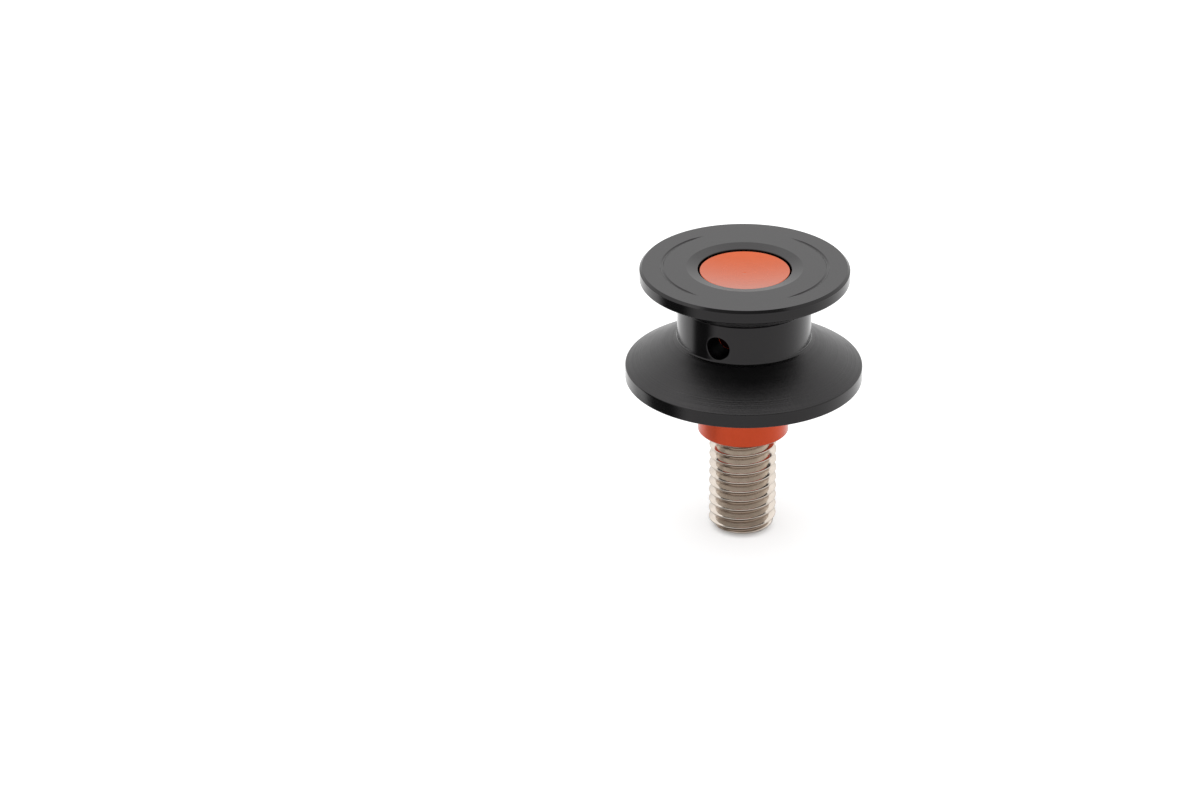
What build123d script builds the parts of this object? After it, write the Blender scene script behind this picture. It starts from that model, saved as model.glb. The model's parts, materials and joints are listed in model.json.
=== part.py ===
"""A swingarm spool: a grooved roller that turns on a shouldered bush, held by an end cap, on a threaded stud.

Millimetres. The origin is on the axis at the bush's seat face, where the spool meets the swingarm.
+Z runs along the axis, from the seat face out to the end cap. The stud points along -Z.
"""

import os
from math import radians, sqrt, tan

from build123d import *

os.makedirs("parts", exist_ok=True)

# Roller, from the flange beside the swingarm to the free flange
inboard_flange_diameter = 35.1
inboard_rim = 2.05
outboard_flange_diameter = 31.0
outboard_rim = 1.9
drum_diameter = 19.8
drum_length = 5.9
flank_angle = 31.0
groove_chamfer = 0.2
rim_break = 0.15
face_break = 0.37

# Roller bore: a web runs on the bush, with a pocket for a shoulder at each end
inboard_pocket_depth = 3.5
inboard_mouth_break = 0.5
mouth_ring_width = 1.68
mouth_ring_depth = 0.35

# Shallow arcs engraved in the free flange's face
arc_diameter = 24.4
arc_width = 0.6
arc_depth = 0.15
arc_span = 115.0
arc_turn = 21.3

# Clearances between the roller and what carries it
running_clearance = 0.05
end_float = 0.1
collar_clearance = 0.19
cap_clearance = 0.26

# Bush: a seat collar with a journal on top
seat_collar_wall = 1.73
seat_standoff = 8.65
collar_break = 0.2
shoulder_width = 0.93

# End cap, pressed into the journal
cap_recess = 0.55
cap_thickness = 2.4
cap_break = 0.1
cap_dish = 0.35
journal_wall = 2.3
spigot_length = 3.0
spigot_end_gap = 0.2
spigot_clearance = 0.01

# Stud: M10 by 1.5, at its outer diameter where it stands free and at its pitch diameter inside the bush
thread_diameter = 10.0
thread_pitch = 1.5
stud_free_length = 15.43
stud_engagement = 14.0
stud_point_break = 0.76
thread_clearance = 0.02
thread_end_gap = 0.3
thread_mouth_clearance = 0.3

# Cross hole for a tommy bar, through the roller and the bush, a little below the middle of the drum
bar_hole_diameter = 3.5
bar_hole_height = 2.1
bar_hole_break = 0.1

# Diameters that follow from the thread and the fits. A 60 degree thread's pitch line lies three eighths
# of the sharp thread's height below its crests.
pitch_line_depth = 3 / 8 * thread_pitch * sqrt(3) / 2
engaged_diameter = thread_diameter - 2 * pitch_line_depth
tapped_diameter = engaged_diameter + 2 * thread_clearance
tapped_mouth_diameter = thread_diameter + 2 * thread_mouth_clearance
seat_collar_diameter = thread_diameter + 2 * seat_collar_wall
pocket_diameter = seat_collar_diameter + 2 * collar_clearance
cap_diameter = pocket_diameter - 2 * cap_clearance
journal_diameter = seat_collar_diameter - 2 * shoulder_width
web_diameter = journal_diameter + 2 * running_clearance
spigot_diameter = journal_diameter - 2 * journal_wall

# Heights above the seat face
flank_slope = tan(radians(flank_angle))
inboard_face = seat_standoff
drum_base = inboard_face + inboard_rim + (inboard_flange_diameter - drum_diameter) / 2 * flank_slope
drum_top = drum_base + drum_length
outboard_rim_base = drum_top + (outboard_flange_diameter - drum_diameter) / 2 * flank_slope
outboard_face = outboard_rim_base + outboard_rim
cap_face = outboard_face - cap_recess
journal_end = cap_face - cap_thickness
web_end = journal_end - end_float
web_base = inboard_face + inboard_pocket_depth
shoulder = web_base - end_float

# Where the cross hole is drilled: through the axis, along Y
bar_plane = Plane(origin=(0, 0, drum_base + bar_hole_height), x_dir=(1, 0, 0), z_dir=(0, -1, 0))

# Two lengths closer than this are the same length
same_length = 1e-6


def groove_corners(profile):
    """The two corners where the drum meets a flank."""
    return profile.vertices().filter_by(lambda v: abs(v.X - drum_diameter / 2) < same_length)


def rim_corners(profile):
    """The corners of both rims, apart from the free flange's outer face."""
    rims = (inboard_flange_diameter / 2, outboard_flange_diameter / 2)
    return profile.vertices().filter_by(
        lambda v: min(abs(v.X - rim) for rim in rims) < same_length and v.Y < outboard_face - same_length
    )


def face_corner(profile):
    """The corner between the free flange's rim and its outer face."""
    return profile.vertices().filter_by(
        lambda v: abs(v.X - outboard_flange_diameter / 2) < same_length
        and abs(v.Y - outboard_face) < same_length
    )


# Roller: one turned piece, with a V groove between two flanges
with BuildPart() as roller:
    with BuildSketch(Plane.XZ) as roller_profile:
        with BuildLine():
            web_radius = web_diameter / 2
            mouth_ring_radius = pocket_diameter / 2 + mouth_ring_width
            Polyline(
                (web_radius, web_base),
                (pocket_diameter / 2, web_base),
                (pocket_diameter / 2, inboard_face + inboard_mouth_break),
                (pocket_diameter / 2 + inboard_mouth_break, inboard_face),
                (inboard_flange_diameter / 2, inboard_face),
                (inboard_flange_diameter / 2, inboard_face + inboard_rim),
                (drum_diameter / 2, drum_base),
                (drum_diameter / 2, drum_top),
                (outboard_flange_diameter / 2, outboard_rim_base),
                (outboard_flange_diameter / 2, outboard_face),
                (mouth_ring_radius, outboard_face),
                (pocket_diameter / 2, outboard_face - mouth_ring_depth),
                (pocket_diameter / 2, web_end),
                (web_radius, web_end),
                close=True,
            )
        make_face()
        chamfer(groove_corners(roller_profile), groove_chamfer)
        chamfer(rim_corners(roller_profile), rim_break)
        chamfer(face_corner(roller_profile), face_break)
    revolve(axis=Axis.Z)

    with BuildSketch(bar_plane):
        Circle(bar_hole_diameter / 2)
    extrude(amount=inboard_flange_diameter / 2, both=True, mode=Mode.SUBTRACT)
    drum_wall = roller.faces().filter_by(GeomType.CYLINDER).filter_by(
        lambda f: abs(f.radius - drum_diameter / 2) < same_length
    )
    chamfer(drum_wall.edges().filter_by(GeomType.BSPLINE), bar_hole_break)

    with BuildSketch(Plane.XY.offset(outboard_face)):
        for side in (0, 180):
            start = side + arc_turn - arc_span / 2
            with BuildLine() as arc_path:
                CenterArc((0, 0), arc_diameter / 2, start, arc_span)
            SlotArc(arc_path.edge(), arc_width)
    extrude(amount=-arc_depth, mode=Mode.SUBTRACT)

roller.part.label = "roller"
export_step(roller.part, "parts/roller.step")

# Bush: seat collar and journal turned in one, tapped from below and bored for the cap on top
with BuildPart() as bush:
    with BuildSketch(Plane.XZ):
        with BuildLine():
            Polyline(
                (0, 0),
                (seat_collar_diameter / 2 - collar_break, 0),
                (seat_collar_diameter / 2, collar_break),
                (seat_collar_diameter / 2, shoulder),
                (journal_diameter / 2, shoulder),
                (journal_diameter / 2, journal_end),
                (0, journal_end),
                close=True,
            )
        make_face()
    revolve(axis=Axis.Z)

    with Locations(Plane.XY.rotated((180, 0, 0))):
        CounterSinkHole(
            tapped_diameter / 2,
            tapped_mouth_diameter / 2,
            depth=stud_engagement + thread_end_gap,
            counter_sink_angle=90,
        )
    with Locations((0, 0, journal_end)):
        Hole(spigot_diameter / 2 + spigot_clearance, depth=spigot_length + spigot_end_gap)
    with BuildSketch(bar_plane):
        Circle(bar_hole_diameter / 2)
    extrude(amount=journal_diameter, both=True, mode=Mode.SUBTRACT)

bush.part.label = "bush"
export_step(bush.part, "parts/bush.step")

# End cap: a disc that keeps the roller on, with a shallow cone faced into it and a spigot in the journal
with BuildPart() as end_cap:
    with BuildSketch(Plane.XZ):
        with BuildLine():
            Polyline(
                (0, cap_face - cap_dish),
                (0, journal_end - spigot_length),
                (spigot_diameter / 2, journal_end - spigot_length),
                (spigot_diameter / 2, journal_end),
                (cap_diameter / 2, journal_end),
                (cap_diameter / 2, cap_face - cap_break),
                (cap_diameter / 2 - cap_break, cap_face),
                close=True,
            )
        make_face()
    revolve(axis=Axis.Z)

end_cap.part.label = "end_cap"
export_step(end_cap.part, "parts/end_cap.step")

# Stud: a chamfered point, the free thread's outer cylinder, and the length screwed into the bush
with BuildPart() as stud:
    with BuildSketch(Plane.XZ):
        with BuildLine():
            Polyline(
                (0, -stud_free_length),
                (thread_diameter / 2 - stud_point_break, -stud_free_length),
                (thread_diameter / 2, -stud_free_length + stud_point_break),
                (thread_diameter / 2, 0),
                (engaged_diameter / 2, pitch_line_depth),
                (engaged_diameter / 2, stud_engagement),
                (0, stud_engagement),
                close=True,
            )
        make_face()
    revolve(axis=Axis.Z)

stud.part.label = "stud"
export_step(stud.part, "parts/stud.step")
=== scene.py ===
"""The look of a swingarm spool: a threaded stud, a shouldered bush, a grooved roller and an end cap."""

import json
from math import cos, pi, radians, sin, sqrt

import bmesh
import bpy
import numpy as np
from mathutils import Matrix, Vector


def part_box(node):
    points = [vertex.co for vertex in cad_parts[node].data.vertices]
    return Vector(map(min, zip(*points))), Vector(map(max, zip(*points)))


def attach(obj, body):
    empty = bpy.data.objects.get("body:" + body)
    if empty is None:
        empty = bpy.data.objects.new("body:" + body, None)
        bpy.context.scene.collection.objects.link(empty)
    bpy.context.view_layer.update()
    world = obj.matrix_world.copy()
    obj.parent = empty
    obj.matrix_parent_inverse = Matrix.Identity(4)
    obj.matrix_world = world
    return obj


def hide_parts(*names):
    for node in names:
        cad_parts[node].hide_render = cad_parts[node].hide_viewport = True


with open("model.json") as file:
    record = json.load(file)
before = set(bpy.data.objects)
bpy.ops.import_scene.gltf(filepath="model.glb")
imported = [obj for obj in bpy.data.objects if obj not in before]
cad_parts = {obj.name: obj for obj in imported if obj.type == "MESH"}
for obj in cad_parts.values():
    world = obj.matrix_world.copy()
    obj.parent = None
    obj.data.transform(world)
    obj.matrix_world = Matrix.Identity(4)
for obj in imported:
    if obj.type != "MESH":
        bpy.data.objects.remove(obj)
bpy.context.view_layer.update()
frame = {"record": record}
mounts = {mount["name"]: mount for mount in frame["record"]["mounts"]}

# The camera and the stage are measured in metres, and the pieces in millimetres.
mm = 0.001

# Camera: a long lens that looks down on the spool from the front, turned a little to the side of the
# cross hole. It is aimed left of the spool, which stands right of the middle of the picture.
camera_azimuth = radians(22.8)
camera_reach = 0.85546
camera_height = 0.42492
camera_swing = 0.024855
camera_dip = 0.456765
camera_lens = 192.75
camera_clip = 0.01

across = Vector((cos(camera_azimuth), sin(camera_azimuth), 0))
away = Vector((-sin(camera_azimuth), cos(camera_azimuth), 0))
up = Vector((0, 0, 1))
forward = (away * cos(camera_swing) - across * sin(camera_swing)) * cos(camera_dip) - up * sin(camera_dip)
right = forward.cross(up).normalized()
upright = right.cross(forward)
back = -forward
place = up * camera_height - away * camera_reach

camera_data = bpy.data.cameras.new("camera")
camera_data.lens = camera_lens
camera_data.clip_start = camera_clip
camera = bpy.data.objects.new("camera", camera_data)
turn = Matrix((right, upright, back)).transposed()
camera.matrix_world = Matrix.Translation(place) @ turn.to_4x4()
bpy.context.scene.collection.objects.link(camera)
bpy.context.scene.camera = camera
bpy.context.scene.view_settings.view_transform = "Standard"

# Stage: a white paper floor in an even white light tent, with one broad soft lamp above and behind. The
# floor is lifted to white for the camera, and less in gloss. Round the stud's foot both lifts fade, which
# paints a dark contact shadow there over the foot's real shadow. From below it is clear, so the underside
# can be looked at.
floor_gap = 0.02 * mm
floor_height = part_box("stud")[0].z - floor_gap
floor_reach = 3.0
floor_white = 0.9
camera_lift = 0.43
contact_shift = 0.0012
contact_from, contact_to = 0.0031, 0.0051
gloss_lift, gloss_lift_behind = 0.12, 0.62
behind_from, behind_to = -0.045, 0.055
far_gloss = 0.3
far_from, far_to = 0.08, 0.20
foot_shade_from, foot_shade_to = 0.005, 0.062


def tree_of(owner):
    """The emptied node tree of a material or world."""
    owner.use_nodes = True
    owner.node_tree.nodes.clear()
    return owner.node_tree


def node(tree, kind, inputs=None, **settings):
    """A new shader node with its settings. Each input takes a value, or the socket that feeds it."""
    made = tree.nodes.new(kind)
    for name, value in settings.items():
        setattr(made, name, value)
    for name, value in (inputs or {}).items():
        if isinstance(value, bpy.types.NodeSocket):
            tree.links.new(value, made.inputs[name])
        else:
            made.inputs[name].default_value = value
    return made


def maths(tree, operation, *values):
    """The result of a Math node on values or sockets."""
    return node(tree, "ShaderNodeMath", dict(enumerate(values)), operation=operation).outputs[0]


def mapped(tree, value, from_low, from_high, low, high):
    """A value that runs smoothly from low to high as another goes from from_low to from_high."""
    span = {"Value": value, "From Min": from_low, "From Max": from_high, "To Min": low, "To Max": high}
    return node(tree, "ShaderNodeMapRange", span, interpolation_type="SMOOTHSTEP").outputs["Result"]


def by_ray(tree, seen, gloss, other):
    """A value that differs between the camera's rays, those of gloss or transmission, and others."""
    path = node(tree, "ShaderNodeLightPath").outputs
    shiny = maths(tree, "MAXIMUM", path["Is Glossy Ray"], path["Is Transmission Ray"])
    unseen = node(tree, "ShaderNodeMix", {"Factor": shiny, "A": other, "B": gloss}, data_type="FLOAT")
    mixed = node(tree, "ShaderNodeMix",
                 {"Factor": path["Is Camera Ray"], "A": unseen.outputs["Result"], "B": seen},
                 data_type="FLOAT")
    return mixed.outputs["Result"]


def grey(value):
    """A neutral colour."""
    return (value, value, value, 1)


def place_on(tree):
    """A point's place on the object that has the material, in metres."""
    return node(tree, "ShaderNodeTexCoord").outputs["Object"]


def dot(tree, vector, direction):
    """How far a vector reaches along a direction."""
    product = node(tree, "ShaderNodeVectorMath", {0: vector, 1: direction}, operation="DOT_PRODUCT")
    return product.outputs["Value"]


def axis_distance(tree):
    """Distance from the spool's axis, in metres."""
    place = node(tree, "ShaderNodeSeparateXYZ", {0: place_on(tree)})
    flat = node(tree, "ShaderNodeCombineXYZ", {"X": place.outputs["X"], "Y": place.outputs["Y"]})
    return node(tree, "ShaderNodeVectorMath", {0: flat.outputs[0]}, operation="LENGTH").outputs["Value"]


paper = bpy.data.materials.new("white_paper")
tree = tree_of(paper)
diffuse = node(tree, "ShaderNodeBsdfDiffuse", {"Color": grey(floor_white)})
depth = dot(tree, place_on(tree), away)
behind = mapped(tree, depth, behind_from, behind_to, gloss_lift, gloss_lift_behind)
far = mapped(tree, depth, far_from, far_to, 1.0, far_gloss)
# Round the foot the gloss lift fades away: painted shade on the floor as seen in reflections.
beyond_foot = mapped(tree, axis_distance(tree), foot_shade_from, foot_shade_to, 0.0, 1.0)
gloss = maths(tree, "MULTIPLY", maths(tree, "MULTIPLY", behind, far), beyond_foot)
# A little toward the camera from the foot, the camera's lift fades to nothing: a painted contact shadow.
contact = up * floor_height - away * contact_shift
from_contact = node(tree, "ShaderNodeVectorMath", {0: place_on(tree), 1: contact}, operation="DISTANCE")
seen_lift = mapped(tree, from_contact.outputs["Value"], contact_from, contact_to, 0.0, camera_lift)
lift = by_ray(tree, seen_lift, gloss, 0.0)
glow = node(tree, "ShaderNodeEmission", {"Color": grey(1), "Strength": lift})
both = node(tree, "ShaderNodeAddShader", {0: diffuse.outputs[0], 1: glow.outputs[0]})
from_below = node(tree, "ShaderNodeNewGeometry").outputs["Backfacing"]
clear = node(tree, "ShaderNodeBsdfTransparent")
sheet = node(tree, "ShaderNodeMixShader", {0: from_below, 1: both.outputs[0], 2: clear.outputs[0]})
node(tree, "ShaderNodeOutputMaterial", {"Surface": sheet.outputs[0]})


def stage_card(name, middle, sideways, rise, material):
    """A flat card that belongs to the stage and not to the object. Sideways and rise run from its middle
    to its edges."""
    mesh = bpy.data.meshes.new(name)
    corners = [middle + sideways * x + rise * y for x, y in ((-1, -1), (1, -1), (1, 1), (-1, 1))]
    mesh.from_pydata(corners, [], [(0, 1, 2, 3)])
    mesh.materials.append(material)
    card = bpy.data.objects.new(name, mesh)
    bpy.context.scene.collection.objects.link(card)
    return card


stage_card("floor", up * floor_height, Vector((floor_reach, 0, 0)), Vector((0, floor_reach, 0)), paper)

# Dark cards stand out of view: one at the front left, with a fainter one below it, and one above the
# front. They show only in gloss, as a dark stripe on the drum and the rims, as a shade on the collar's left
# side, and as a dark line along the free flange's front edge. They fade at their sides.
flag_distance = 0.037
flag_turn = radians(-158)
flag_width = 0.036
flag_soft = 0.012
flag_cover = 0.93
flag_low, flag_high = -0.004, 0.020
low_flag_turn = radians(-172)
low_flag_width = 0.044
low_flag_soft = 0.014
low_flag_cover = 0.45
front_card_distance = 0.50
front_card_elevation = radians(61)
front_card_width, front_card_height = 0.70, 0.24
front_card_soft = 0.1
front_card_cover = 0.8
flag_out = across * cos(flag_turn) + away * sin(flag_turn)
flag_middle = flag_out * flag_distance + up * (flag_low + flag_high) / 2
flag_rise = up * (flag_high - flag_low) / 2
low_flag_out = across * cos(low_flag_turn) + away * sin(low_flag_turn)
low_flag_middle = low_flag_out * flag_distance + up * (floor_height + flag_low) / 2
low_flag_rise = up * (flag_low - floor_height) / 2
front_card_out = up * sin(front_card_elevation) - away * cos(front_card_elevation)
front_card_middle = front_card_out * front_card_distance
front_card_rise = across.cross(front_card_out) * front_card_height / 2
for name, middle, rise, sideways, half_width, soft, cover in (
    ("flag", flag_middle, flag_rise, up.cross(flag_out), flag_width / 2, flag_soft, flag_cover),
    ("low_flag", low_flag_middle, low_flag_rise, up.cross(low_flag_out), low_flag_width / 2,
     low_flag_soft, low_flag_cover),
    ("front_card", front_card_middle, front_card_rise, across, front_card_width / 2,
     front_card_soft, front_card_cover),
):
    dark_card = bpy.data.materials.new(name)
    tree = tree_of(dark_card)
    off = maths(tree, "ABSOLUTE", dot(tree, place_on(tree), sideways))
    covered = mapped(tree, off, half_width - soft, half_width, cover, 0.0)
    clear = node(tree, "ShaderNodeBsdfTransparent")
    matt = node(tree, "ShaderNodeBsdfDiffuse", {"Color": grey(0.0)})
    card_face = node(tree, "ShaderNodeMixShader", {0: covered, 1: clear.outputs[0], 2: matt.outputs[0]})
    node(tree, "ShaderNodeOutputMaterial", {"Surface": card_face.outputs[0]})
    card = stage_card(name, middle, sideways * half_width, rise, dark_card)
    card.visible_camera = False
    card.visible_diffuse = False
    card.visible_shadow = False

# The lamp stands high behind the spool and faces it.
lamp_size = 1.3
lamp_distance = 1.2
lamp_elevation = radians(68)
lamp_power = 1.3
lamp_data = bpy.data.lights.new("soft_lamp", "AREA")
lamp_data.size = lamp_size
lamp_data.energy = lamp_power
lamp = bpy.data.objects.new("soft_lamp", lamp_data)
toward_lamp = away * cos(lamp_elevation) + up * sin(lamp_elevation)
lamp.matrix_world = (Matrix.Translation(toward_lamp * lamp_distance)
                     @ toward_lamp.to_track_quat("Z", "Y").to_matrix().to_4x4())
bpy.context.scene.collection.objects.link(lamp)

# In gloss the tent shows two brighter panels: its back, above the floor, and its top, which leans left.
tent_light = 0.90
back_panel_light = 0.33
back_panel_from, back_panel_to = -0.2, 0.7
back_panel_rise = 0.45
top_panel_light = 0.8
top_panel_from, top_panel_to = 0.75, 0.97
top_panel_lean = radians(12)
world = bpy.data.worlds.new("light_tent")
bpy.context.scene.world = world
tree = tree_of(world)
facing = node(tree, "ShaderNodeTexCoord").outputs["Generated"]
height = node(tree, "ShaderNodeSeparateXYZ", {0: facing}).outputs["Z"]
top = up * cos(top_panel_lean) - across * sin(top_panel_lean)
to_back = mapped(tree, dot(tree, facing, away), back_panel_from, back_panel_to, 0.0, back_panel_light)
above_floor = mapped(tree, height, 0.0, back_panel_rise, 0.0, 1.0)
to_top = mapped(tree, dot(tree, facing, top), top_panel_from, top_panel_to, 0.0, top_panel_light)
panels = maths(tree, "ADD", maths(tree, "MULTIPLY", to_back, above_floor), to_top)
shine = maths(tree, "ADD", panels, 1.0)
strength = by_ray(tree, 1.0, shine, tent_light)
sky = node(tree, "ShaderNodeBackground", {"Color": grey(1), "Strength": strength})
node(tree, "ShaderNodeOutputWorld", {"Surface": sky.outputs[0]})

# Stud: an M10 by 1.5 thread rolled on stainless steel bar, with a turned point. It is screwed tight into
# the bush, where it is drawn as a plain bar, and its thread runs out in the bush's mouth.
stud_low, stud_high = (corner.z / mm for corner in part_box("stud"))
thread_radius = mounts["stud"]["dims"]["r_mm"]
thread_pitch = 1.5
crest_rounding = 0.11
rounding_degrees = 60
rounding_steps = 4
flank_steps = 5

# The sharp 60 degree profile's height gives the root's rounding and the pitch line, at which the engaged
# length is drawn.
thread_height = thread_pitch * sqrt(3) / 2
root_rounding = thread_height / 6
engaged_radius = thread_radius - thread_height * 3 / 8
flank_start = crest_rounding * sin(radians(rounding_degrees))
flank_end = thread_pitch / 2 - root_rounding * sin(radians(rounding_degrees))
root_radius = thread_radius - (flank_end - flank_start) * sqrt(3) - (crest_rounding + root_rounding) / 2
point_break = 0.76
run_out = 0.7
shank_break = 0.5
stud_segments = 144
weld_reach = 1e-7


def surface(points, keep=None):
    """The corners and quads of a grid of points, rows by columns. Keep says which quads are there."""
    rows, columns = points.shape[:2]
    index = np.arange(rows * columns).reshape(rows, columns)
    quads = np.stack([index[:-1, :-1], index[:-1, 1:], index[1:, 1:], index[1:, :-1]], axis=-1)
    return points.reshape(-1, 3), quads[keep] if keep is not None else quads.reshape(-1, 4)


def around(radii, heights, angles):
    """Points at radius times (cos, sin) of the angle, and at the height. The three arrays broadcast."""
    radii, heights, angles = np.broadcast_arrays(radii, heights, angles)
    return np.stack([radii * np.cos(angles), radii * np.sin(angles), heights], axis=-1)


def circle(segments):
    """Angles once round the axis, with the first again at the end."""
    return np.linspace(0, 2 * pi, segments + 1)


def piece(name, finishes, body, stands_for):
    """One object from patches in millimetres, given as pairs of a material and the patches that have it.
    The patches' shared edges and poles are welded."""
    patches = [patch for material, group in finishes for patch in group]
    corners = np.concatenate([points for points, quads in patches]) * mm
    starts = np.cumsum([0] + [len(points) for points, quads in patches[:-1]])
    quads = np.concatenate([quads + start for start, (points, quads) in zip(starts, patches)])
    counts = [sum(len(quads) for points, quads in group) for material, group in finishes]
    mesh = bpy.data.meshes.new(name)
    mesh.from_pydata(corners, [], quads)
    mesh.polygons.foreach_set("material_index", np.repeat(np.arange(len(finishes)), counts))
    weld = bmesh.new()
    weld.from_mesh(mesh)
    bmesh.ops.remove_doubles(weld, verts=weld.verts, dist=weld_reach)
    bmesh.ops.recalc_face_normals(weld, faces=weld.faces)
    weld.to_mesh(mesh)
    weld.free()
    mesh.shade_smooth()
    for material, group in finishes:
        mesh.materials.append(material)
    made = bpy.data.objects.new(name, mesh)
    bpy.context.scene.collection.objects.link(made)
    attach(made, body)
    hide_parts(stands_for)


def thread_profile():
    """Heights and radii over one pitch: straight flanks at 30 degrees between a round crest and a round
    root, where the arcs are rounding * sin(turn) along and rounding * (1 - cos(turn)) deep."""
    turn = np.radians(np.linspace(0, rounding_degrees, rounding_steps + 1))
    flank = np.linspace(flank_start, flank_end, flank_steps + 1)[1:-1]
    back_turn = turn[::-1]
    heights = np.concatenate([crest_rounding * np.sin(turn), flank,
                              thread_pitch / 2 - root_rounding * np.sin(back_turn)])
    radii = np.concatenate([
        thread_radius - crest_rounding * (1 - np.cos(turn)),
        thread_radius - crest_rounding / 2 - (flank - flank_start) * sqrt(3),
        root_radius + root_rounding * (1 - np.cos(back_turn)),
    ])
    return (np.concatenate([heights, thread_pitch - heights[-2::-1]]),
            np.concatenate([radii, radii[-2::-1]]))


def thread_surface():
    """Radius is the profile's at (height - pitch * angle / turn), cut by the point's 45 degree cone,
    and fades to the engaged radius inside the bush. Rows past either end fall onto that end."""
    profile_heights, profile_radii = thread_profile()
    turns = np.arange(-1, int((run_out - stud_low) / thread_pitch) + 2)
    rows = (stud_low + thread_pitch * turns[:, None] + profile_heights[None, :-1]).reshape(-1, 1)
    rise = thread_pitch * circle(stud_segments) / (2 * pi)
    heights = np.clip(rows + rise, stud_low, run_out)
    radii = np.interp(np.mod(heights - stud_low - rise, thread_pitch), profile_heights, profile_radii)
    radii = np.minimum(radii, thread_radius - point_break + heights - stud_low)
    kept = 1 - np.clip(heights / run_out, 0, 1)
    return around(engaged_radius + (radii - engaged_radius) * kept, heights, circle(stud_segments))


def end_face(ring):
    """A flat face from a ring of points in to the axis. Its rows are shares 1 to 0 of the ring's radius."""
    shares = np.array([1, 0.8, 0.4, 0])[:, None, None]
    return ring[None] * np.where(np.arange(3) < 2, shares, 1)


def fine_grain():
    """Node group: speckle. Mask is noise of the place over the grain's size."""
    group = bpy.data.node_groups.new("fine_grain", "ShaderNodeTree")
    group.interface.new_socket("Size", in_out="INPUT", socket_type="NodeSocketFloat")
    group.interface.new_socket("Mask", in_out="OUTPUT", socket_type="NodeSocketFloat")
    given = node(group, "NodeGroupInput")
    scale = maths(group, "DIVIDE", 1.0, given.outputs["Size"])
    noise = node(group, "ShaderNodeTexNoise", {"Vector": place_on(group), "Scale": scale, "Detail": 3.0})
    node(group, "NodeGroupOutput", {"Mask": noise.outputs["Fac"]})
    return group


def placed(tree, group, **values):
    """A group's node in a tree, with its input values."""
    return node(tree, "ShaderNodeGroup", values, node_tree=group)


noise_low, noise_high = 0.3, 0.7


def between(tree, share, low, high):
    """A value that runs from low to high as the share does from noise_low to noise_high, where most of a
    noise lies."""
    span = {"Value": share, "From Min": noise_low, "From Max": noise_high, "To Min": low, "To Max": high}
    return node(tree, "ShaderNodeMapRange", span).outputs["Result"]


def colours(tree, share, low, high):
    """A colour that runs from low to high as the share does from noise_low to noise_high."""
    mixed = node(tree, "ShaderNodeMix", {"Factor": between(tree, share, 0.0, 1.0)}, data_type="RGBA")
    mixed.inputs["A"].default_value = (*low, 1)
    mixed.inputs["B"].default_value = (*high, 1)
    return mixed.outputs["Result"]


grain = fine_grain()
steel_low, steel_high = (0.585, 0.52, 0.455), (0.65, 0.585, 0.52)
# Toward the bottom of the thread's grooves the steel's colour runs to a dark brown: painted shade in the
# roots.
root_shade_colour = (0.30, 0.23, 0.18)
root_shade_reach = 0.35
rolled_steel = bpy.data.materials.new("rolled_stainless_steel")
tree = tree_of(rolled_steel)
speckle = placed(tree, grain, Size=0.00012).outputs["Mask"]
cloud = placed(tree, grain, Size=0.0012).outputs["Mask"]
bump = node(tree, "ShaderNodeBump", {"Height": speckle, "Strength": 0.4, "Distance": 0.00001})
root_shade_end = root_radius + root_shade_reach
out_of_root_shade = mapped(tree, axis_distance(tree), root_radius * mm, root_shade_end * mm, 0.0, 1.0)
unshaded_steel = colours(tree, cloud, steel_low, steel_high)
steel = node(tree, "ShaderNodeMix", {"Factor": out_of_root_shade}, data_type="RGBA")
steel.inputs["A"].default_value = (*root_shade_colour, 1)
tree.links.new(unshaded_steel, steel.inputs["B"])
shader = node(tree, "ShaderNodeBsdfPrincipled", {
    "Base Color": steel.outputs["Result"],
    "Metallic": 1.0,
    "Roughness": between(tree, speckle, 0.09, 0.15),
    "Normal": bump.outputs[0],
})
node(tree, "ShaderNodeOutputMaterial", {"Surface": shader.outputs[0]})

thread = thread_surface()
shank_heights = np.array([run_out, stud_high - shank_break, stud_high])
shank_radii = np.array([engaged_radius, engaged_radius, engaged_radius - shank_break])
shank = around(shank_radii[:, None], shank_heights[:, None], circle(stud_segments))
stud_walls = [surface(part) for part in (thread, shank, end_face(thread[0]), end_face(shank[-1]))]
piece("threaded_stud", [(rolled_steel, stud_walls)], "spindle", "stud")

# Bush: aluminium, turned in one piece and anodised orange. Its collar seats on the swingarm, the roller
# runs on its thinner journal, and the stud is screwed into it from below.
bush_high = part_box("bush")[1].z / mm
collar_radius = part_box("bush")[1].x / mm
collar_break = 0.2
shoulder_width = 0.93
roller_low, roller_high = (corner.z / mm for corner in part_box("roller"))
lower_pocket_depth = 3.5
end_float = 0.1
journal_radius = collar_radius - shoulder_width
shoulder = roller_low + lower_pocket_depth - end_float
thread_clearance = 0.02
thread_mouth_clearance = 0.3
thread_end_gap = 0.3
tapped_radius = engaged_radius + thread_clearance
tapped_mouth_radius = thread_radius + thread_mouth_clearance
tapped_depth = stud_high + thread_end_gap
spigot_radius = 3.5
spigot_clearance = 0.01
spigot_bore_radius = spigot_radius + spigot_clearance
spigot_bore_depth = 3.2
bar_hole_radius = mounts["tommy_bar_hole"]["dims"]["r_mm"]
bar_hole_height = mounts["tommy_bar_hole"]["pos_m"][2] / mm
edge_soft = 0.05
edge_support = 0.03
corner_steps = 5
turned_segments = 360
ring_points = 104
mouth_rows = 6


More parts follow.
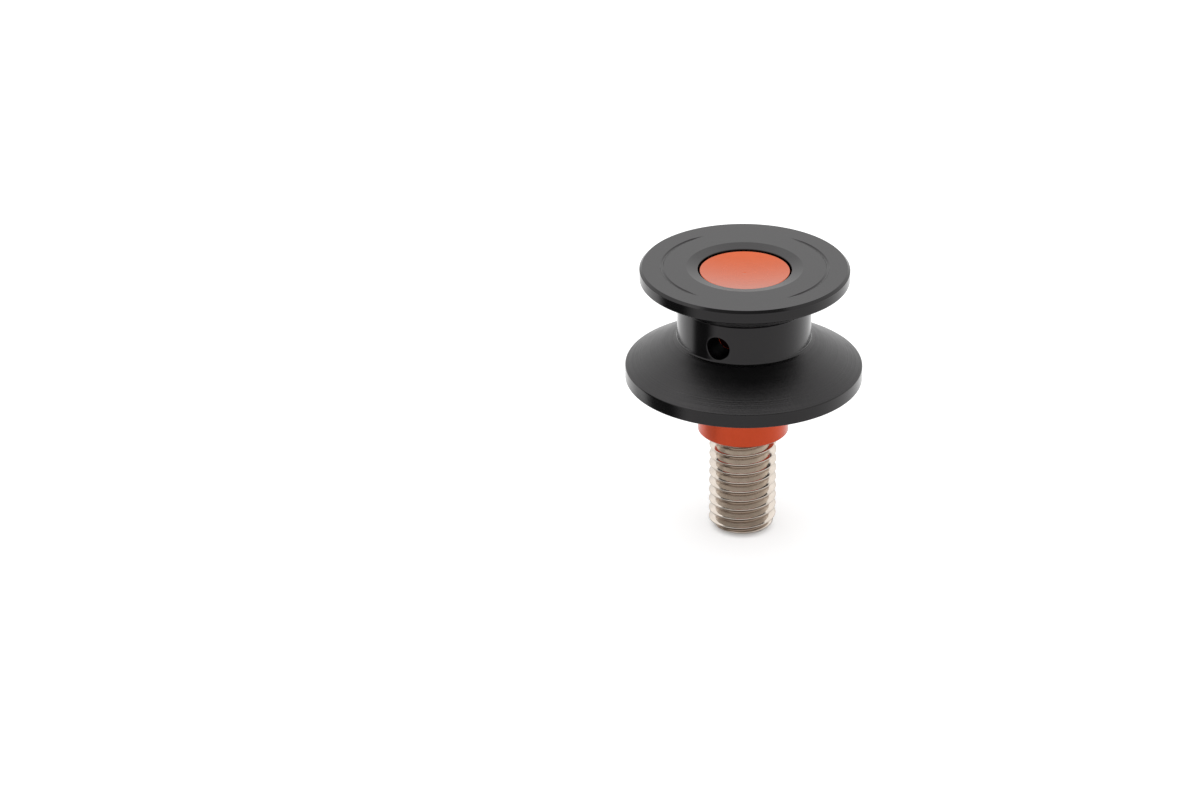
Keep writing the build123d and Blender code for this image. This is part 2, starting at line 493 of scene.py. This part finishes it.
def rounded(corners):
    """An outline of radius and height in which an arc, tangent to both sides, takes the place of each
    corner that has a third number, its rounding. A support point stands just before and after the arc."""
    corners = [(*corner, 0)[:3] for corner in corners]
    outline = []
    for number, (radius, height, rounding) in enumerate(corners):
        corner = np.array([radius, height])
        if not rounding:
            outline.append(corner)
            continue
        to_last = np.array(corners[number - 1][:2]) - corner
        to_next = np.array(corners[number + 1][:2]) - corner
        to_last /= np.linalg.norm(to_last)
        to_next /= np.linalg.norm(to_next)
        half = np.arccos(np.clip(to_last @ to_next, -1, 1)) / 2
        tangent = rounding / np.tan(half)
        middle = to_last + to_next
        centre = corner + middle / np.linalg.norm(middle) * rounding / np.sin(half)
        first = corner + to_last * tangent - centre
        last = corner + to_next * tangent - centre
        sweep = pi - 2 * half
        share = np.linspace(0, 1, corner_steps + 1)[:, None]
        arc = centre + (first * np.sin((1 - share) * sweep) + last * np.sin(share * sweep)) / np.sin(sweep)
        before = corner + to_last * (tangent + edge_support)
        after = corner + to_next * (tangent + edge_support)
        outline += [before, *arc, after]
    return np.array(outline)


def turned(outline):
    """The surface that an outline of radius and height sweeps round the axis."""
    return around(outline[:, :1], outline[:, 1:], circle(turned_segments))


def ring_turns():
    """Angles once round the cross hole, from its lowest point, as seen from outside."""
    return np.linspace(-pi / 2, 3 * pi / 2, ring_points + 1)


def hole_ring(side, cylinder, radius, inset=0.0):
    """A ring round the cross hole where it meets a cylinder on the axis, or stands inset behind it:
    sideways is radius * cos(turn), height is radius * sin(turn) above the hole's middle, and reach is
    sqrt(cylinder^2 - sideways^2) - inset."""
    sideways = radius * np.cos(ring_turns())
    reach = np.sqrt(cylinder ** 2 - sideways ** 2) - inset
    return np.stack([
        reach * cos(side) - sideways * sin(side),
        reach * sin(side) + sideways * cos(side),
        bar_hole_height + radius * np.sin(ring_turns()),
    ], axis=-1)


def pierced_wall(cylinder, low, high, window_low, window_high, half_columns, mouth_radius):
    """Patches of a cylinder's wall from low to high with the cross hole's mouth in it on both sides. Round
    each mouth a window of the grid is left out, and rows of points that run from the window's edge to the
    mouth's ring in even shares fill it. The window's edge and the ring have as many points."""
    half_rows = ring_points // 2 - 2 * half_columns
    heights = np.linspace(window_low, window_high, half_rows + 1)
    all_heights = np.unique(np.concatenate([[low], heights, [high]]))
    wall = around(cylinder, all_heights[:, None], circle(turned_segments))
    first_row = int(np.searchsorted(all_heights, window_low))
    keep = np.ones((len(all_heights) - 1, turned_segments), bool)
    patches = []
    column_turn = 2 * pi / turned_segments
    out = np.arange(half_columns + 1)
    columns = np.concatenate([out, np.full(half_rows - 1, half_columns), out[::-1], -out[1:],
                              np.full(half_rows - 1, -half_columns), -out[:0:-1], [0]])
    climb = heights[1:-1]
    edge_heights = np.concatenate([
        np.full(half_columns + 1, heights[0]), climb, np.full(2 * half_columns + 1, heights[-1]),
        climb[::-1], np.full(half_columns + 1, heights[0]),
    ])
    turns = ring_turns()
    mouth_angles = np.arcsin(mouth_radius * np.cos(turns) / cylinder)
    mouth_heights = bar_hole_height + mouth_radius * np.sin(turns)
    share = np.linspace(0, 1, mouth_rows + 1)[:, None]
    for side in (pi / 2, 3 * pi / 2):
        middle = round(side / column_turn)
        keep[first_row:first_row + half_rows, middle - half_columns:middle + half_columns] = False
        angles = side + (1 - share) * columns * column_turn + share * mouth_angles
        fill_heights = (1 - share) * edge_heights + share * mouth_heights
        patches.append(surface(around(cylinder, fill_heights, angles)))
    return [surface(wall, keep)] + patches


def turned_marks():
    """Node group: the fine rings that a turning tool leaves. Height is noise of (distance from the axis,
    height) over the rings' spacing, so it changes across a face and along a wall, and not round them."""
    group = bpy.data.node_groups.new("turned_marks", "ShaderNodeTree")
    group.interface.new_socket("Spacing", in_out="INPUT", socket_type="NodeSocketFloat")
    group.interface.new_socket("Height", in_out="OUTPUT", socket_type="NodeSocketFloat")
    given = node(group, "NodeGroupInput")
    height = node(group, "ShaderNodeSeparateXYZ", {0: place_on(group)}).outputs["Z"]
    section = node(group, "ShaderNodeCombineXYZ", {"X": axis_distance(group), "Y": height})
    scale = maths(group, "DIVIDE", 1.0, given.outputs["Spacing"])
    noise = node(group, "ShaderNodeTexNoise",
                 {"Vector": section.outputs[0], "Scale": scale, "Detail": 2.0}, noise_dimensions="2D")
    node(group, "NodeGroupOutput", {"Height": noise.outputs["Fac"]})
    return group


marks = turned_marks()
roughness_swing = 0.015


def anodised(name, dye_low, dye_high, spacing, roughness):
    """Orange anodised aluminium: a dyed, glassy oxide over bright metal, with the rings of its turning."""
    material = bpy.data.materials.new(name)
    tree = tree_of(material)
    rings = placed(tree, marks, Spacing=spacing).outputs["Height"]
    cloud = placed(tree, grain, Size=0.0015).outputs["Mask"]
    bump = node(tree, "ShaderNodeBump", {"Height": rings, "Strength": 0.1, "Distance": 0.000006})
    shader = node(tree, "ShaderNodeBsdfPrincipled", {
        "Base Color": colours(tree, cloud, dye_low, dye_high),
        "Metallic": 1.0,
        "Roughness": between(tree, rings, roughness - roughness_swing, roughness + roughness_swing),
        "Coat Weight": 0.8,
        "Coat Roughness": 0.12,
        "Coat IOR": 1.2,
        "Normal": bump.outputs[0],
    })
    node(tree, "ShaderNodeOutputMaterial", {"Surface": shader.outputs[0]})
    return material


def painted_hole_shade(name, low, high, metallic):
    """A hole's wall painted nearly black and dull, with hardly any gloss on it: painted shade."""
    material = bpy.data.materials.new(name)
    tree = tree_of(material)
    speckle = placed(tree, grain, Size=0.0002).outputs["Mask"]
    shader = node(tree, "ShaderNodeBsdfPrincipled", {
        "Base Color": colours(tree, speckle, low, high),
        "Metallic": metallic,
        "Roughness": between(tree, speckle, 0.55, 0.65),
        "Specular IOR Level": 0.05,
    })
    node(tree, "ShaderNodeOutputMaterial", {"Surface": shader.outputs[0]})
    return material


journal_margin = 0.3
journal_band = (shoulder + journal_margin, bush_high - journal_margin)
bore_window_reach = 2.0
bore_window = (bar_hole_height - bore_window_reach, bar_hole_height + bore_window_reach)
bore_window_columns = 20
bush_below = rounded([
    (0, tapped_depth), (tapped_radius, tapped_depth),
    (tapped_radius, tapped_mouth_radius - tapped_radius), (tapped_mouth_radius, 0, edge_soft),
    (collar_radius - collar_break, 0, edge_soft), (collar_radius, collar_break, edge_soft),
    (collar_radius, shoulder, edge_soft), (journal_radius, shoulder), (journal_radius, journal_band[0]),
])
bush_above = rounded([
    (journal_radius, journal_band[1]), (journal_radius, bush_high, edge_soft),
    (spigot_bore_radius, bush_high, edge_soft), (spigot_bore_radius, bush_high - spigot_bore_depth),
    (0, bush_high - spigot_bore_depth),
])
through = np.stack([hole_ring(3 * pi / 2, journal_radius, bar_hole_radius),
                    hole_ring(pi / 2, journal_radius, bar_hole_radius)[::-1]])
bush_walls = [surface(turned(bush_below)), surface(turned(bush_above))]
bush_walls += pierced_wall(journal_radius, *journal_band, *bore_window, bore_window_columns,
                           bar_hole_radius)
collar_dye = (0.53, 0.064, 0.020), (0.56, 0.068, 0.023)
# The through hole's wall in the journal is painted nearly black: painted shade inside the hole.
hole_shade_colours = (0.016, 0.001, 0.0005), (0.024, 0.0015, 0.001)
piece("shouldered_bush", [
    (anodised("anodised_collar", *collar_dye, spacing=0.0003, roughness=0.34), bush_walls),
    (painted_hole_shade("drilled_aluminium", *hole_shade_colours, metallic=1.0), [surface(through)]),
], "spindle", "bush")

# Roller: hard black plastic, turned from bar, with a V groove for the stand's hook between two flanges.
# Its web runs on the bush's journal, and a cross hole takes a tommy bar that tightens the stud.
inboard_rim = 2.05
outboard_rim = 1.9
inboard_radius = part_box("roller")[1].x / mm
outboard_radius = 15.5
drum_radius = mounts["stand_hook_groove"]["dims"]["r_mm"]
drum_length = mounts["stand_hook_groove"]["dims"]["length_mm"]
drum_middle = mounts["stand_hook_groove"]["pos_m"][2] / mm
drum_low, drum_high = drum_middle - drum_length / 2, drum_middle + drum_length / 2
groove_fillet = 0.35
rim_soft = 0.15
flank_soft = 0.26
face_break = 0.37
collar_clearance = 0.19
pocket_radius = collar_radius + collar_clearance
mouth_break = 0.5
mouth_ring_width = 1.68
mouth_ring_depth = 0.35
mouth_ring_soft = 0.5
mouth_lip_soft = 0.12
running_clearance = 0.05
web_radius = journal_radius + running_clearance
web_low, web_high = roller_low + lower_pocket_depth, bush_high - end_float
bar_hole_break = 0.1
bar_hole_edge = 0.3
arc_radius = 12.2
arc_half_width = 0.26
arc_depth = 0.15
arc_half_span = radians(59)
arc_taper = radians(11)
arc_least_share = 0.05
arc_turn = radians(21.3)
arc_rows = 24
arc_margin = 0.03
plain_margin = 1.0


def engraving(radii, angles):
    """Depth of the two engraved arcs. Off is the angle from the nearer arc's middle. Width and depth fall
    over the taper at each end, and the section is a parabola, deepest on the arc."""
    off = np.abs(np.mod(angles - arc_turn + pi / 2, pi) - pi / 2)
    share = np.clip((arc_half_span - off) / arc_taper, 0, 1)
    aside = (radii - arc_radius) / (arc_half_width * np.maximum(share, arc_least_share))
    return arc_depth * share * np.clip(1 - aside ** 2, 0, 1)


drum_margin = 0.24
web_margin = 0.2
drum_window_columns = 13
drum_band = (drum_low + drum_margin, drum_high - drum_margin)
web_band = (web_low + web_margin, web_high - web_margin)
roller_below = rounded([
    (web_radius, web_band[0]), (web_radius, web_low, edge_soft), (pocket_radius, web_low),
    (pocket_radius, roller_low + mouth_break, edge_soft),
    (pocket_radius + mouth_break, roller_low, edge_soft),
    (inboard_radius, roller_low, rim_soft), (inboard_radius, roller_low + inboard_rim, flank_soft),
    (drum_radius, drum_low, groove_fillet), (drum_radius, drum_band[0]),
])
face_edge = rounded([
    (drum_radius, drum_band[1]), (drum_radius, drum_high, groove_fillet),
    (outboard_radius, roller_high - outboard_rim, flank_soft),
    (outboard_radius, roller_high - face_break, edge_soft),
    (outboard_radius - face_break, roller_high, edge_soft), (arc_radius + plain_margin, roller_high),
])
arc_reach = arc_half_width + arc_margin
arc_radii = arc_radius + np.linspace(arc_reach, -arc_reach, arc_rows + 1)
face = np.stack([arc_radii, np.full_like(arc_radii, roller_high)], axis=-1)
mouth = rounded([
    (arc_radius - plain_margin, roller_high),
    (pocket_radius + mouth_ring_width, roller_high, mouth_ring_soft),
    (pocket_radius, roller_high - mouth_ring_depth, mouth_lip_soft), (pocket_radius, web_high),
    (web_radius, web_high, edge_soft), (web_radius, web_band[1]),
])
roller_above = turned(np.concatenate([face_edge, face, mouth]))
on_face = np.isclose(roller_above[..., 2], roller_high)
depths = engraving(np.hypot(roller_above[..., 0], roller_above[..., 1]), circle(turned_segments))
roller_above[..., 2] -= depths * on_face

roller_walls = [surface(turned(roller_below)), surface(roller_above)]
roller_walls += pierced_wall(drum_radius, *drum_band, *drum_band, drum_window_columns,
                             bar_hole_radius + bar_hole_break)
roller_walls += pierced_wall(web_radius, *web_band, *bore_window, bore_window_columns, bar_hole_radius)
# Past the chamfer's plain edge, the cross hole's wall through the web is painted nearly black: painted
# shade inside the hole.
hole_shaded_walls = []
for side in (pi / 2, 3 * pi / 2):
    # The chamfer at the drum, with its two edges rounded, then a plain edge. Shares are of the chamfer.
    edge = hole_ring(side, drum_radius, bar_hole_radius, bar_hole_edge)
    roller_walls.append(surface(np.stack([
        hole_ring(side, drum_radius, bar_hole_radius + bar_hole_break * wider, bar_hole_break * deeper)
        for wider, deeper in ((1, 0), (0.9, 0.03), (0.1, 0.8), (0, 1.2))
    ] + [edge])))
    hole_shaded_walls.append(surface(np.stack([edge, hole_ring(side, web_radius, bar_hole_radius)])))

plastic_low, plastic_high = (0.0012, 0.0012, 0.0013), (0.0026, 0.0026, 0.0027)
# Near-black colours for the cross hole's wall: painted shade inside the hole.
hole_shade_plastic_low, hole_shade_plastic_high = (0.001, 0.001, 0.001), (0.002, 0.002, 0.002)
flank_start_soft = 0.1
flank_end_soft = 0.4
flank_relief = 2.0
flank_low, flank_high = roller_low + inboard_rim, drum_low
black_plastic = bpy.data.materials.new("black_plastic")
tree = tree_of(black_plastic)
speckle = placed(tree, grain, Size=0.0002).outputs["Mask"]
cloud = placed(tree, grain, Size=0.002).outputs["Mask"]
rings = placed(tree, marks, Spacing=0.00025).outputs["Height"]
height = node(tree, "ShaderNodeSeparateXYZ", {0: place_on(tree)}).outputs["Z"]
above_rim = mapped(tree, height, flank_low * mm, (flank_low + flank_start_soft) * mm, 0.0, 1.0)
below_drum = mapped(tree, height, (flank_high - flank_end_soft) * mm, flank_high * mm, 1.0, 0.0)
flank = maths(tree, "MULTIPLY", above_rim, below_drum)
coarse = maths(tree, "MULTIPLY_ADD", flank, flank_relief, 1.0)
relief = maths(tree, "MULTIPLY", maths(tree, "ADD", speckle, rings), coarse)
bump = node(tree, "ShaderNodeBump", {"Height": relief, "Strength": 0.2, "Distance": 0.00002})
smooth = between(tree, cloud, 0.14, 0.18)
scratched = between(tree, rings, 0.13, 0.21)
shader = node(tree, "ShaderNodeBsdfPrincipled", {
    "Base Color": colours(tree, speckle, plastic_low, plastic_high),
    "Roughness": maths(tree, "MULTIPLY_ADD", flank, scratched, smooth),
    "IOR": 1.5,
    "Specular IOR Level": 0.43,
    "Specular Tint": (1.0, 0.965, 0.982, 1.0),
    "Normal": bump.outputs[0],
})
node(tree, "ShaderNodeOutputMaterial", {"Surface": shader.outputs[0]})
drilled_plastic = painted_hole_shade("drilled_plastic", hole_shade_plastic_low, hole_shade_plastic_high, metallic=0.0)
piece("grooved_roller", [(black_plastic, roller_walls), (drilled_plastic, hole_shaded_walls)],
      "roller", "roller")

# End cap: a faced aluminium disc, anodised orange as the bush is. Its spigot is pressed into the journal,
# and its rim stands over the roller's web and keeps the roller on.
cap_low, cap_high = (corner.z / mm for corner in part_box("end_cap"))
cap_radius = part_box("end_cap")[1].x / mm
cap_break = 0.1
dish_depth = 0.5
dish_rows = 23
rim_reach = 0.3
rim_margin = 0.5
centre_mark_radius = 0.2
centre_mark_floor = 0.1
centre_mark_depth = 0.03


def dish(radii):
    """Height of the cap's dished face: dish_depth * (1 - (radius / cap_radius)^2) below its rim."""
    return cap_high - dish_depth * (1 - (radii / cap_radius) ** 2)


rim = rounded([
    (0, cap_low), (spigot_radius, cap_low, edge_soft), (spigot_radius, bush_high),
    (cap_radius, bush_high, edge_soft), (cap_radius, cap_high, cap_break),
    (cap_radius - rim_reach, dish(cap_radius - rim_reach)),
])
dish_radii = np.linspace(cap_radius - rim_margin, centre_mark_radius, dish_rows + 1)
mark_radii = np.array([centre_mark_floor, 0])
cap = np.concatenate([
    rim,
    np.stack([dish_radii, dish(dish_radii)], axis=-1),
    np.stack([mark_radii, dish(mark_radii) - centre_mark_depth], axis=-1),
])
face_dye = (0.49, 0.075, 0.010), (0.51, 0.080, 0.012)
anodised_face = anodised("anodised_face", *face_dye, spacing=0.0002, roughness=0.26)
piece("faced_end_cap", [(anodised_face, [surface(turned(cap))])], "spindle", "end_cap")
